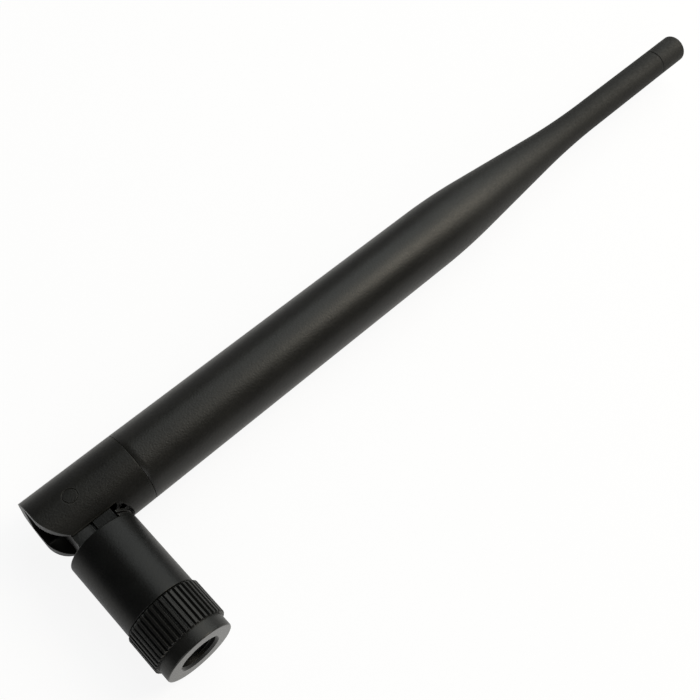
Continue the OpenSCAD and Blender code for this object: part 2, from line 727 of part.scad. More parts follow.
// The brass tube that forms the antenna's lower half, closed at the feed point
module ground_sleeve() {
    color(brass) along_whip() translate([0, 0, feed_x - ground_len]) difference() {
        cylinder(h = ground_len, r = ground_d / 2);
        translate([0, 0, -past])
            cylinder(h = ground_len - ground_end_t + past, r = ground_d / 2 - ground_wall);
        translate([0, 0, -past]) cylinder(h = ground_len + 2 * past, r = cable_r);
    }
}

// Centre line of the radiator wire: place and turning angle at a number of turns
coil_ramp = 0.8;
function smooth(u) = u <= 0 ? 0 : u >= 1 ? 1 : u * u * (3 - 2 * u);
function coil_radius(turn) =
    coil_r * smooth(turn / coil_ramp) * smooth((coil_turns - turn) / coil_ramp);
function wire_at(turn) = let (a = 360 * turn, r = coil_radius(turn))
    [coil_x + coil_pitch * turn, r * cos(a), r * sin(a)];
function unit(v) = v / norm(v);

// The radiator: one copper wire, straight, then coiled to shift the phase, then straight
module radiator_wire() {
    sides = 8;
    rings_per_turn = 14;
    ring_count = coil_turns * rings_per_turn;
    turns = [for (i = [0:ring_count]) i / rings_per_turn];
    centres = concat([[wire_start_x, 0, 0]], [for (t = turns) wire_at(t)], [[wire_end_x, 0, 0]]);
    angles = concat([0], [for (t = turns) 360 * t], [360 * coil_turns]);
    last = len(centres) - 1;
    points = [for (i = [0:last])
        let (along = unit(centres[min(i + 1, last)] - centres[max(i - 1, 0)]),
             out = [0, cos(angles[i]), sin(angles[i])],
             u = unit(out - (out * along) * along),
             v = cross(along, u))
        for (k = [0:sides - 1])
            centres[i] + wire_r * (cos(360 * k / sides) * u + sin(360 * k / sides) * v)];
    side_faces = [for (i = [0:last - 1]) for (k = [0:sides - 1])
        let (a = i * sides + k, b = i * sides + (k + 1) % sides)
        for (f = [[a, a + sides, b], [b, a + sides, b + sides]]) f];
    start_face = [for (k = [0:sides - 1]) k];
    end_face = [for (k = [sides - 1:-1:0]) last * sides + k];
    color(copper) at_hinge() polyhedron(points, concat(side_faces, [start_face, end_face]));
}

// The shrunk tube over the soldered feed joint
module heat_shrink() {
    color(shrink_black)
        whip_tube(feed_x, shrink_end_x, max(core_r, wire_r) + shrink_wall,
            max(core_r, wire_r));
}

// Spacers that centre the ground sleeve and the wire in the whip
module ground_spacer() {
    x1 = ground_spacer_x + spacer_len;
    color(spacer_grey)
        whip_tube(ground_spacer_x, x1, tube_bore(x1), ground_d / 2);
}
module wire_spacer() {
    x1 = wire_spacer_x + spacer_len;
    color(spacer_grey) whip_tube(wire_spacer_x, x1, tube_bore(x1), wire_r);
}
module tip_spacer() {
    x1 = wire_end_x - tip_spacer_back;
    color(spacer_grey) whip_tube(x1 - tip_spacer_len, x1, tube_bore(x1), wire_r);
}

// The knurled coupling nut, with the thread's bore left plain at its inner diameter
module coupling_nut() {
    knurl_r = knurl_d / 2;
    ring_r = ring_d / 2;
    knurl_end_s = nut_rear_s + knurl_len;
    knurl_edge = 0.12;
    thread_end_s = face_s - mouth_chamfer - mouth_len;
    snap_bore_r = thread_r + snap_reach;
    color(black_metal) along_plug() difference() {
        rotate_extrude() polygon([
            [0, nut_rear_s], [knurl_r - knurl_chamfer, nut_rear_s],
            [knurl_r, nut_rear_s + knurl_chamfer], [knurl_r, knurl_end_s - knurl_edge],
            [knurl_r - knurl_edge, knurl_end_s], [ring_r, knurl_end_s],
            [ring_r, face_s - ring_chamfer], [ring_r - ring_chamfer, face_s], [0, face_s]]);
        for (i = [0:knurl_count - 1]) rotate([0, 0, 360 * (i + 0.5) / knurl_count])
            translate([0, 0, nut_rear_s - past]) linear_extrude(knurl_len + past) polygon([
                [knurl_r + eps, -knurl_groove_w / 2], [knurl_r + past, -knurl_groove_w],
                [knurl_r + past, knurl_groove_w], [knurl_r + eps, knurl_groove_w / 2],
                [knurl_r - knurl_depth, knurl_floor_w / 2],
                [knurl_r - knurl_depth, -knurl_floor_w / 2]]);
        translate([0, 0, nut_rear_s - past]) cylinder(h = nut_len + 2 * past, r = thread_r);
        translate([0, 0, nut_snap_s - snap_t - 2 * snap_play])
            cylinder(h = snap_t + 2 * snap_play, r = snap_bore_r);
        translate([0, 0, thread_end_s]) cylinder(h = nut_len, r = mouth_r);
        rotate_extrude() polygon([
            [0, face_s - mouth_chamfer], [mouth_r, face_s - mouth_chamfer],
            [mouth_r + mouth_chamfer, face_s], [mouth_r + mouth_chamfer, face_s + past],
            [0, face_s + past]]);
    }
}

radome();
tip_cap();
hinge_sleeve();
hinge_pin_upper();
hinge_pin_lower();
coax_upper();
coax_feed_core();
ground_sleeve();
radiator_wire();
heat_shrink();
ground_spacer();
wire_spacer();
tip_spacer();
knuckle();
swivel_washer();
coax_bend();
connector_body();
dielectric();
centre_pin();
swivel_snap_ring();
crimp_ferrule();
coax_lower();
coax_lower_core();
coupling_nut();
nut_snap_ring();
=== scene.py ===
import math

import bmesh
import bpy
from mathutils import Matrix, Vector


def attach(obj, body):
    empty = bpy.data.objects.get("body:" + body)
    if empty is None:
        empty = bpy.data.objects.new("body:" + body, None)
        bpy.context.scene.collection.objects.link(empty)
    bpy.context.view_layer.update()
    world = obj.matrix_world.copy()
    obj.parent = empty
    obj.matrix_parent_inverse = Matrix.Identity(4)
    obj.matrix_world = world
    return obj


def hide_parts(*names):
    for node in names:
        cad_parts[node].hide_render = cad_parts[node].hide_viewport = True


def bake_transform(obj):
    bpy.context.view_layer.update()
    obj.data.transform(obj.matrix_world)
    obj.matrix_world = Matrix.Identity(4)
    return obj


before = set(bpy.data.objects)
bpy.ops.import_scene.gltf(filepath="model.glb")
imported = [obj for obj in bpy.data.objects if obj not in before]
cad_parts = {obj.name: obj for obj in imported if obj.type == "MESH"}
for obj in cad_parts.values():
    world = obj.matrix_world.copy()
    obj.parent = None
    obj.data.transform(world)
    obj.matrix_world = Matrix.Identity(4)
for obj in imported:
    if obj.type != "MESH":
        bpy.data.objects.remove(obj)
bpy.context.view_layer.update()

# A folding wifi antenna. Shapes are in millimetres, and lamps, floor and room are in metres.
MM = 0.001

# Distance from the plug's reference plane to the hinge
HINGE_Y = 28.1
# How far a cut reaches, well outside the part
PAST = 9.0
# How far a rounding cut stands off the surface that it meets
STAND_OFF = 0.03
# Chamfer on both sides of a visible seam
SEAM_CHAMFER = 0.12

# Frames: local z runs out of the plug's mouth, along the whip, or up through the hinge
PLUG = Matrix.Rotation(math.radians(90), 4, "X")
HINGE = Matrix.Translation((0, HINGE_Y, 0))
WHIP = HINGE @ Matrix.Rotation(math.radians(90), 4, "Y")
# At the hinge again, with local z towards the plug's mouth or away from it
TO_PLUG = HINGE @ Matrix.Rotation(math.radians(90), 4, "X")
FROM_PLUG = HINGE @ Matrix.Rotation(math.radians(-90), 4, "X")


# Materials

# The part of a noise's range that holds nearly all its values
NOISE_LOW = 0.3
NOISE_HIGH = 0.7
# Share by which the grain changes the roughness up and down
ROUGHNESS_SWAY = 0.1
# Light that reaches a point inside the solid: on a flat side, and at a worn edge
FLAT_SIDE = 0.9
WORN_EDGE = 0.55
# The noise above which a patch's edges are fully worn, and their wear in the other patches
WORN_PATCH = 0.6
LEAST_WORN = 0.35
# Rays that each bevel and each worn edge takes
EDGE_SAMPLES = 6
# Fine detail of every noise
NOISE_DETAIL = 3.0


def material(name, colour, rough, metallic=0.0, **extra):
    m = bpy.data.materials.new(name)
    m.use_nodes = True
    shader = m.node_tree.nodes["Principled BSDF"]
    shader.inputs["Base Color"].default_value = (*colour, 1)
    shader.inputs["Roughness"].default_value = rough
    shader.inputs["Metallic"].default_value = metallic
    for key, value in extra.items():
        shader.inputs[key.replace("_", " ")].default_value = value
    return m


def object_point(tree):
    return tree.nodes.new("ShaderNodeTexCoord").outputs["Object"]


def noise(tree, sizes_mm):
    """Noise with its own size along x, y and z, which turns it into drawn or turned lines."""
    mapping = tree.nodes.new("ShaderNodeMapping")
    mapping.inputs["Scale"].default_value = [1 / (size * MM) for size in sizes_mm]
    texture = tree.nodes.new("ShaderNodeTexNoise")
    texture.inputs["Scale"].default_value = 1.0
    texture.inputs["Detail"].default_value = NOISE_DETAIL
    tree.links.new(object_point(tree), mapping.inputs["Vector"])
    tree.links.new(mapping.outputs["Vector"], texture.inputs["Vector"])
    return texture.outputs["Fac"]


def ranged(tree, value, low, high, to_low, to_high):
    """Maps a value from one range to another and stays inside the second."""
    node = tree.nodes.new("ShaderNodeMapRange")
    for socket, number in zip(("From Min", "From Max", "To Min", "To Max"),
                              (low, high, to_low, to_high)):
        node.inputs[socket].default_value = number
    tree.links.new(value, node.inputs["Value"])
    return node.outputs["Result"]


def combined(tree, operation, a, b):
    node = tree.nodes.new("ShaderNodeMath")
    node.operation = operation
    tree.links.new(a, node.inputs[0])
    tree.links.new(b, node.inputs[1])
    return node.outputs["Value"]


def times(tree, a, b):
    return combined(tree, "MULTIPLY", a, b)


def larger(tree, a, b):
    return combined(tree, "MAXIMUM", a, b)


def along_axis(tree, axis, start, end, factor):
    """A factor that goes from 1 at the start to its full value at the end, along one axis."""
    split = tree.nodes.new("ShaderNodeSeparateXYZ")
    tree.links.new(object_point(tree), split.inputs["Vector"])
    return ranged(tree, split.outputs[axis], start * MM, end * MM, 1, factor)


def worn_tone(tree, tone, worn, patches, edge):
    """The tone with another one along outer edges, more of it in some patches than in others."""
    inside = tree.nodes.new("ShaderNodeAmbientOcclusion")
    inside.inside = True
    inside.only_local = True
    inside.samples = EDGE_SAMPLES
    inside.inputs["Distance"].default_value = 2 * edge * MM
    mask = times(tree, ranged(tree, inside.outputs["AO"], FLAT_SIDE, WORN_EDGE, 0, 1),
                 ranged(tree, patches, NOISE_LOW, WORN_PATCH, LEAST_WORN, 1))
    mix = tree.nodes.new("ShaderNodeMix")
    mix.data_type = "RGBA"
    first, second = [socket for socket in mix.inputs if socket.type == "RGBA"]
    result = next(socket for socket in mix.outputs if socket.type == "RGBA")
    tree.links.new(mask, mix.inputs["Factor"])
    tree.links.new(tone, first)
    second.default_value = (*worn, 1)
    return result


def surface(name, colour, rough, metallic=0.0, vary=0.15, patch=(3, 3, 3), grain=(0.2, 0.2, 0.2),
            depth=0.004, edge=0.1, worn=None, along=None, **extra):
    """Colour and roughness that vary in patches, a fine grain as bump, softly rounded edges,
    and a worn tone along outer edges. The roughness may change along one axis."""
    m = material(name, colour, rough, metallic, **extra)
    tree = m.node_tree
    shader = tree.nodes["Principled BSDF"]
    patches = noise(tree, patch)
    ramp = tree.nodes.new("ShaderNodeValToRGB")
    dark, light = ramp.color_ramp.elements
    dark.position = NOISE_LOW
    light.position = NOISE_HIGH
    dark.color = [c * (1 - vary) for c in colour] + [1]
    light.color = [min(c * (1 + vary), 1) for c in colour] + [1]
    tree.links.new(patches, ramp.inputs["Fac"])
    tone = ramp.outputs["Color"]
    if worn:
        tone = worn_tone(tree, tone, worn, patches, edge)
    tree.links.new(tone, shader.inputs["Base Color"])
    fine = noise(tree, grain)
    roughness = ranged(tree, fine, NOISE_LOW, NOISE_HIGH, rough * (1 - ROUGHNESS_SWAY),
                       rough * (1 + ROUGHNESS_SWAY))
    if along:
        roughness = times(tree, roughness, along_axis(tree, *along))
    tree.links.new(roughness, shader.inputs["Roughness"])
    bevel = tree.nodes.new("ShaderNodeBevel")
    bevel.samples = EDGE_SAMPLES
    bevel.inputs["Radius"].default_value = edge * MM
    bump = tree.nodes.new("ShaderNodeBump")
    bump.inputs["Distance"].default_value = depth * MM
    bump.inputs["Strength"].default_value = 1.0
    tree.links.new(fine, bump.inputs["Height"])
    tree.links.new(bevel.outputs["Normal"], bump.inputs["Normal"])
    tree.links.new(bump.outputs["Normal"], shader.inputs["Normal"])
    return m


# Drawn metal has lines along x, and turned metal has rings across y
DRAWN = (6.0, 0.12, 0.12)
TURNED = (4.0, 0.10, 4.0)
# The whip's moulding grain, and where its surface turns duller towards the tip
WHIP_PATCH = (5, 3, 3)
WHIP_GRAIN = (0.34, 0.34, 0.34)
WHIP_DULL = ("X", 70, 125, 1.75)
# The nut's turned face is smoother than its blasted sides
NUT_SMOOTH = ("Y", -3.1, -3.28, 0.31)

M_WHIP = surface("whip_plastic", (0.0052, 0.0050, 0.0042), 0.40, vary=0.3, patch=WHIP_PATCH,
                 grain=WHIP_GRAIN, depth=0.030, worn=(0.022, 0.0215, 0.020), along=WHIP_DULL,
                 IOR=1.46, Specular_IOR_Level=0.38)
M_SLEEVE = surface("sleeve_plastic", (0.0046, 0.0045, 0.0038), 0.40, vary=0.3, patch=WHIP_PATCH,
                   grain=WHIP_GRAIN, depth=0.030, worn=(0.020, 0.0195, 0.018),
                   IOR=1.46, Specular_IOR_Level=0.28)
M_BARREL = surface("barrel_plastic", (0.0028, 0.0030, 0.0029), 0.38, vary=0.25,
                   grain=(0.40, 0.40, 0.40), depth=0.020, edge=0.12,
                   worn=(0.016, 0.016, 0.015), IOR=1.46, Specular_IOR_Level=0.25)
M_NUT = surface("black_plating", (0.0040, 0.0042, 0.0038), 0.42, vary=0.25,
                grain=(0.25, 0.25, 0.25), depth=0.014, edge=0.06,
                worn=(0.014, 0.0135, 0.0125), along=NUT_SMOOTH, IOR=1.6, Specular_IOR_Level=0.22)
M_GOLD = surface("gold_plate", (0.80, 0.58, 0.22), 0.24, 1.0, vary=0.06, patch=(1.5, 1.5, 1.5),
                 grain=TURNED, depth=0.0012, edge=0.04, worn=(0.72, 0.55, 0.28))
M_BRASS = surface("brass_tube", (0.72, 0.52, 0.20), 0.34, 1.0, vary=0.10, patch=(4, 2, 2),
                  grain=DRAWN, depth=0.002, edge=0.05, worn=(0.80, 0.62, 0.30))
M_COPPER = surface("copper_wire", (0.72, 0.36, 0.20), 0.32, 1.0, vary=0.12, patch=(2, 1, 1),
                   grain=DRAWN, depth=0.001, edge=0.04)
M_STEEL = surface("spring_steel", (0.55, 0.56, 0.58), 0.32, 1.0, vary=0.08, patch=(1, 1, 1),
                  grain=TURNED, depth=0.001, edge=0.03, worn=(0.66, 0.66, 0.67))
M_WHITE = surface("white_insulator", (0.86, 0.86, 0.83), 0.42, vary=0.03, patch=(1.2, 1.2, 1.2),
                  grain=(0.12, 0.12, 0.12), depth=0.003, edge=0.04)
M_JACKET = surface("cable_jacket", (0.16, 0.07, 0.035), 0.34, vary=0.15, patch=(3, 1, 1),
                   grain=(0.5, 0.2, 0.2), depth=0.003, edge=0.05)
M_SHRINK = surface("shrink_tube", (0.020, 0.020, 0.022), 0.50, vary=0.2, patch=(1.5, 1, 1),
                   grain=(0.8, 0.25, 0.25), depth=0.02, edge=0.08)
M_SPACER = surface("spacer", (0.45, 0.46, 0.47), 0.58, vary=0.06, patch=(1.5, 1.5, 1.5),
                   grain=(0.2, 0.2, 0.2), depth=0.005, edge=0.08, worn=(0.52, 0.53, 0.54))

MATERIAL_OF = {
    "radome": M_WHIP, "tip_cap": M_WHIP, "hinge_sleeve": M_SLEEVE,
    "hinge_pin_upper": M_SLEEVE, "hinge_pin_lower": M_SLEEVE, "knuckle": M_BARREL,
    "coupling_nut": M_NUT, "connector_body": M_GOLD, "centre_pin": M_GOLD,
    "dielectric": M_WHITE, "coax_lower_core": M_WHITE, "coax_feed_core": M_WHITE,
    "crimp_ferrule": M_BRASS, "ground_sleeve": M_BRASS, "radiator_wire": M_COPPER,
    "swivel_washer": M_STEEL, "swivel_snap_ring": M_STEEL, "nut_snap_ring": M_STEEL,
    "coax_lower": M_JACKET, "coax_bend": M_JACKET, "coax_upper": M_JACKET,
    "heat_shrink": M_SHRINK, "ground_spacer": M_SPACER, "wire_spacer": M_SPACER,
    "tip_spacer": M_SPACER,
}


def dress(obj, node, degrees=28):
    """Gives an object its node's material and slot, and keeps edges sharp above an angle."""
    obj.data.materials.clear()
    obj.data.materials.append(MATERIAL_OF[node])
    obj.data.shade_smooth()
    obj.data.set_sharp_from_angle(angle=math.radians(degrees))


for name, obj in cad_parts.items():
    dress(obj, name)


# Mesh helpers, in millimetres

# Points nearer than this, in metres, are merged
MERGE_DISTANCE = 1e-7


def linked(name, data):
    obj = bpy.data.objects.new(name, data)
    bpy.context.scene.collection.objects.link(obj)
    return obj


def mesh_object(name, verts, faces, place):
    """A mesh object from points in a local frame, with doubles merged and normals outside."""
    mesh = bpy.data.meshes.new(name)
    mesh.from_pydata([place @ Vector(v) * MM for v in verts], [], faces)
    bm = bmesh.new()
    bm.from_mesh(mesh)
    bmesh.ops.remove_doubles(bm, verts=bm.verts, dist=MERGE_DISTANCE)
    bmesh.ops.dissolve_degenerate(bm, edges=bm.edges, dist=MERGE_DISTANCE)
    bmesh.ops.recalc_face_normals(bm, faces=bm.faces)
    bm.to_mesh(mesh)
    bm.free()
    return linked(name, mesh)


def circle_point(r, angle, z):
    return (r * math.cos(angle), r * math.sin(angle), z)


def turned(name, profile, place, sides):
    """Turns (radius, z) points about the local z axis. The profile runs from axis to axis,
    or round a closed section."""
    closed = profile[0][0] > 0
    verts = [circle_point(r, 2 * math.pi * k / sides, z) for r, z in profile for k in range(sides)]
    rows = len(profile)
    faces = []
    for i in range(rows if closed else rows - 1):
        a = i * sides
        b = (i + 1) % rows * sides
        for k in range(sides):
            n = (k + 1) % sides
            faces.append((a + k, a + n, b + n, b + k))
    return mesh_object(name, verts, faces, place)


def cylinder(name, r, z0, z1, place, sides):
    return turned(name, [(0, z0), (r, z0), (r, z1), (0, z1)], place, sides)


def prism(name, outline, z0, z1, place):
    """An outline in the local xy plane, extruded from z0 to z1."""
    n = len(outline)
    verts = [(x, y, z) for z in (z0, z1) for x, y in outline]
    faces = [tuple(range(n - 1, -1, -1)), tuple(range(n, 2 * n))]
    faces += [(i, (i + 1) % n, n + (i + 1) % n, n + i) for i in range(n)]
    return mesh_object(name, verts, faces, place)


def boolean(obj, tool, operation="DIFFERENCE"):
    """Cuts, joins or intersects with another object, which is used up."""
    mod = obj.modifiers.new("cut", "BOOLEAN")
    mod.object = tool
    mod.operation = operation
    mod.solver = "EXACT"
    bpy.context.view_layer.update()
    done = obj.evaluated_get(bpy.context.evaluated_depsgraph_get())
    mesh = bpy.data.meshes.new_from_object(done)
    obj.modifiers.clear()
    obj.data = mesh
    bpy.data.objects.remove(tool)


def finished(obj, node, body, degrees=28):
    """Dresses a piece, lets it ride on its body and puts it in its node's place."""
    dress(obj, node, degrees)
    if body:
        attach(obj, body)
    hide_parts(node)


def arc(cx, cy, r, a0, a1, steps):
    angles = [math.radians(a0 + (a1 - a0) * i / steps) for i in range(steps + 1)]
    return [(cx + r * math.cos(a), cy + r * math.sin(a)) for a in angles]


# Whip and tip cap

# Outer radii at the seam, where the neck begins, where it ends, and at the tip cap
WHIP_R = 6.5
SHOULDER_R = 6.3
SLIM_R = 2.955
TIP_R = 2.89
TUBE_WALL = 1.0
# Places along the whip, from the hinge
SEAM_X = 11.4
NECK_X = 81.1
CAP_X = 151.7
END_X = 159.1
NECK_LEN = 48.8
# Stretches over which the neck bends inwards and straightens out again
NECK_BEND_IN = 13.0
NECK_BEND_OUT = 16.5
CAP_EDGE_R = 0.5
CAP_SPIGOT = 4.0
# End of the hinge sleeve's spigot inside the whip
SPIGOT_END_X = 17.9
WHIP_ROWS = 120


def whip_outer(x):
    """The whip's outer radius: a slight taper, an S-shaped neck, and a slim taper."""
    neck_end = NECK_X + NECK_LEN
    slope = (SHOULDER_R - SLIM_R) / (NECK_LEN - (NECK_BEND_IN + NECK_BEND_OUT) / 2)
    if x <= NECK_X:
        return WHIP_R + (SHOULDER_R - WHIP_R) * (x - SEAM_X) / (NECK_X - SEAM_X)
    if x <= NECK_X + NECK_BEND_IN:
        return SHOULDER_R - slope * (x - NECK_X) ** 2 / (2 * NECK_BEND_IN)
    if x <= neck_end - NECK_BEND_OUT:
        return SHOULDER_R - slope * (x - NECK_X - NECK_BEND_IN / 2)
    if x <= neck_end:
        return SLIM_R + slope * (neck_end - x) ** 2 / (2 * NECK_BEND_OUT)
    return SLIM_R + (TIP_R - SLIM_R) * (x - neck_end) / (CAP_X - neck_end)


def make_radome():
    bore_r = WHIP_R - TUBE_WALL
    spigot_r = TIP_R - TUBE_WALL
    spigot_x = CAP_X - CAP_SPIGOT
    stations = [SEAM_X + (CAP_X - SEAM_X) * i / WHIP_ROWS for i in range(1, WHIP_ROWS)]
    outside = [(whip_outer(x), x) for x in stations]
    inside = [(whip_outer(x) - TUBE_WALL, x) for x in reversed(stations)
              if SPIGOT_END_X < x < spigot_x]
    radome = turned("radome_skin", [
        (bore_r, SEAM_X), (WHIP_R - SEAM_CHAMFER, SEAM_X),
        (WHIP_R - SEAM_CHAMFER / 3, SEAM_X + SEAM_CHAMFER / 3), (WHIP_R, SEAM_X + SEAM_CHAMFER),
        *outside,
        (TIP_R, CAP_X - SEAM_CHAMFER), (TIP_R - SEAM_CHAMFER, CAP_X), (spigot_r, CAP_X),
        (spigot_r, spigot_x), *inside, (bore_r, SPIGOT_END_X)], WHIP, sides=128)
    finished(radome, "radome", "whip")


def make_tip_cap():
    spigot_r = TIP_R - TUBE_WALL
    cap = turned("tip_cap_skin", [
        (0, CAP_X - CAP_SPIGOT), (spigot_r, CAP_X - CAP_SPIGOT), (spigot_r, CAP_X),
        (TIP_R - SEAM_CHAMFER, CAP_X), (TIP_R, CAP_X + SEAM_CHAMFER),
        *arc(TIP_R - CAP_EDGE_R, END_X - CAP_EDGE_R, CAP_EDGE_R, 0, 90, steps=8),
        (0, END_X)], WHIP, sides=96)
    finished(cap, "tip_cap", "whip", degrees=35)


make_radome()
make_tip_cap()


# Hinge sleeve and its two pins

SLEEVE_BACK_X = -6.5
SPIGOT_CHAMFER = 0.4
SPIGOT_BORE_R = 4.2
SPIGOT_FLOOR_X = 9.2
# The slot: half its width, its end at the nose and at its corners, and its closed back
SLOT_HALF = 4.3
SLOT_END_X = 4.35
SLOT_CORNER_X = 4.95
NOSE_HALF = 1.3
SLOT_BACK_Y = 3.9
# The round recess behind the nose, from the hinge, and the two moulding pockets in its floor
RECESS_R = 6.9
RECESS_FLOOR = 5.1
POCKET_FLOOR = 3.3
POCKET_R = 6.55
POCKET_NEAR_X = 4.95
POCKET_NEAR_Z = 1.8
POCKET_SLOPE = 1.35
POCKET_WEB_HALF = 0.6
# A place inside the slot, where cuts into the nose may start
IN_SLOT_X = 1.0
# The ears' large corner, with its lowest point below the hinge
EAR_CORNER_R = 6.9
EAR_CORNER_Y = -5.904
BACK_CORNER_R = 0.8
CABLE_BORE_R = 1.2
PIN_R = 1.2
PIN_INNER_Z = 1.5
# The fine ring around each pin's end, and how far out the ring's floor and the pin reach
PIN_RING_R = 1.32
PIN_RING_INNER_R = 1.1
PIN_RING_FLOOR_R = 6.32
PIN_END_R = 6.46
# The click ribs: height, half width, root in the ear, and both ends from the open end
CLICK_HEIGHT = 0.12
CLICK_HALF = 0.2
CLICK_ROOT = 0.2
CLICK_START = 0.4
CLICK_END = 1.6
SLEEVE_SIDES = 192
BORE_SIDES = 48


def cut_slot(sleeve):
    outline = [(-PAST, -SLOT_HALF), (SLOT_CORNER_X, -SLOT_HALF), (SLOT_END_X, -NOSE_HALF),
               (SLOT_END_X, NOSE_HALF), (SLOT_CORNER_X, SLOT_HALF), (-PAST, SLOT_HALF)]
    boolean(sleeve, prism("slot", outline, -SLOT_BACK_Y, PAST, TO_PLUG))


def cut_recess(sleeve):
    half_angle = math.degrees(math.asin(SLOT_HALF / RECESS_R))
    outline = [(IN_SLOT_X, -SLOT_HALF),
               *arc(0, 0, RECESS_R, -half_angle, half_angle, steps=40),
               (IN_SLOT_X, SLOT_HALF)]
    boolean(sleeve, prism("recess", outline, RECESS_FLOOR, PAST, TO_PLUG))


def cut_pockets(sleeve):
    """Each pocket has the web on one side, a slanted side, and a round side between them."""
    start = math.degrees(math.asin(POCKET_WEB_HALF / POCKET_R))
    # The slanted side meets the round one where the two give the same z
    reach = POCKET_NEAR_Z - POCKET_SLOPE * POCKET_NEAR_X
    tilt = math.atan(POCKET_SLOPE)
    end = math.degrees(tilt + math.asin(reach * math.cos(tilt) / POCKET_R))
    outline = [(POCKET_NEAR_X, POCKET_WEB_HALF),
               *arc(0, 0, POCKET_R, start, end, steps=16),
               (POCKET_NEAR_X, POCKET_NEAR_Z)]
    for side in (1, -1):
        mirrored = [(x, side * z) for x, z in outline]
        boolean(sleeve, prism("pocket", mirrored, POCKET_FLOOR, PAST, TO_PLUG))


def round_corners(sleeve):
    """The ears' large corner below the slot's open end, and the small one at the closed back."""
    edge_x = SLEEVE_BACK_X - STAND_OFF
    ear_y = EAR_CORNER_Y + EAR_CORNER_R
    ear = [(-PAST, -PAST), (EAR_CORNER_R + edge_x, -PAST),
           *arc(edge_x + EAR_CORNER_R, ear_y, EAR_CORNER_R, 270, 180, steps=48),
           (-PAST, ear_y)]
    boolean(sleeve, prism("ear_corner", ear, -PAST, PAST, HINGE))
    back_x = edge_x + BACK_CORNER_R
    back_y = WHIP_R + STAND_OFF - BACK_CORNER_R
    back = [(-PAST, back_y - STAND_OFF),
            *arc(back_x, back_y, BACK_CORNER_R, 180, 90, steps=12),
            (back_x, PAST), (-PAST, PAST)]
    boolean(sleeve, prism("back_corner", back, -PAST, PAST, HINGE))


def cut_pin_ring(sleeve):
    ring = turned("pin_ring", [(PIN_RING_INNER_R, -PAST), (PIN_RING_R, -PAST),
                               (PIN_RING_R, PAST), (PIN_RING_INNER_R, PAST)], HINGE, BORE_SIDES)
    boolean(ring, cylinder("pin_ring_core", PIN_RING_FLOOR_R, -2 * PIN_R, 2 * PIN_R, WHIP,
                           SLEEVE_SIDES))
    boolean(sleeve, ring)


def add_click_ribs(sleeve):
    for side in (1, -1):
        outline = [(-side * z, y) for z, y in (
            (SLOT_HALF + CLICK_ROOT, -CLICK_HALF), (SLOT_HALF, -CLICK_HALF),
            (SLOT_HALF - CLICK_HEIGHT, 0), (SLOT_HALF, CLICK_HALF),
            (SLOT_HALF + CLICK_ROOT, CLICK_HALF))]
        boolean(sleeve, prism("click_rib", outline, SLEEVE_BACK_X + CLICK_START,
                              SLEEVE_BACK_X + CLICK_END, WHIP), "UNION")


def make_hinge_sleeve():
    spigot_r = WHIP_R - TUBE_WALL
    sleeve = turned("hinge_sleeve_skin", [
        (0, SLEEVE_BACK_X), (WHIP_R, SLEEVE_BACK_X), (WHIP_R, SEAM_X - SEAM_CHAMFER),
        (WHIP_R - SEAM_CHAMFER, SEAM_X), (spigot_r, SEAM_X),
        (spigot_r, SPIGOT_END_X - SPIGOT_CHAMFER), (spigot_r - SPIGOT_CHAMFER, SPIGOT_END_X),
        (0, SPIGOT_END_X)], WHIP, SLEEVE_SIDES)
    cut_slot(sleeve)
    cut_recess(sleeve)
    cut_pockets(sleeve)
    round_corners(sleeve)
    boolean(sleeve, turned("cable_bore", [
        (0, IN_SLOT_X), (CABLE_BORE_R, IN_SLOT_X), (CABLE_BORE_R, SPIGOT_FLOOR_X),
        (SPIGOT_BORE_R, SPIGOT_FLOOR_X), (SPIGOT_BORE_R, SPIGOT_END_X + PAST),
        (0, SPIGOT_END_X + PAST)], WHIP, BORE_SIDES))
    boolean(sleeve, cylinder("pin_holes", PIN_R, -PAST, PAST, HINGE, BORE_SIDES))
    cut_pin_ring(sleeve)
    add_click_ribs(sleeve)
    finished(sleeve, "hinge_sleeve", "whip", degrees=24)


def make_hinge_pin(node, z0, z1):
    pin = cylinder(node + "_skin", PIN_R, z0, z1, HINGE, BORE_SIDES)
    ends = cylinder("pin_end", PIN_END_R, -2 * PIN_R, 2 * PIN_R, WHIP, SLEEVE_SIDES)
    boolean(pin, ends, "INTERSECT")
    finished(pin, node, "whip")


make_hinge_sleeve()
make_hinge_pin("hinge_pin_upper", PIN_INNER_Z, PAST)
make_hinge_pin("hinge_pin_lower", -PAST, -PIN_INNER_Z)


# Knuckle

BARREL_R = 6.42
BARREL_EDGE_R = 0.25
# The barrel's two ends, out of the plug's mouth, and its shoulder's distance from the hinge
BARREL_FRONT = -6.0
BARREL_REAR = -20.8
SHOULDER = HINGE_Y + BARREL_REAR
# The tongue: half its width and half its thickness, the fillets at its root, and their seat
TONGUE_HALF = 3.65
CHEEK = 4.1
ROOT_FILLET = 0.8
ROOT_DEPTH = 1.0
# The grooved collar on the shoulder, with heights as distances from the hinge
COLLAR_R = 6.32
COLLAR_TOP = 6.05
COLLAR_GROOVE_TOP = 6.5
COLLAR_GROOVE_FLOOR = 6.85
COLLAR_GROOVE_R = 5.82
COLLAR_ROOT = 8.5
# Where the collar begins beside the tongue, and half the width of its link to the tongue
COLLAR_START_X = 3.9
COLLAR_LINK_HALF = 3.45
# The detent slit in each cheek, with a shallow bevelled step beside it
DETENT_START = 3.0
SLIT_HALF = 0.24
SLIT_DEPTH = 0.5
STEP_END = 1.24
STEP_BEVEL_END = 0.87
STEP_DEPTH = 0.1
SLIT_MOUTH = 0.25
# The cable's throat in the tongue begins this far from the hinge
THROAT_START = 4.0
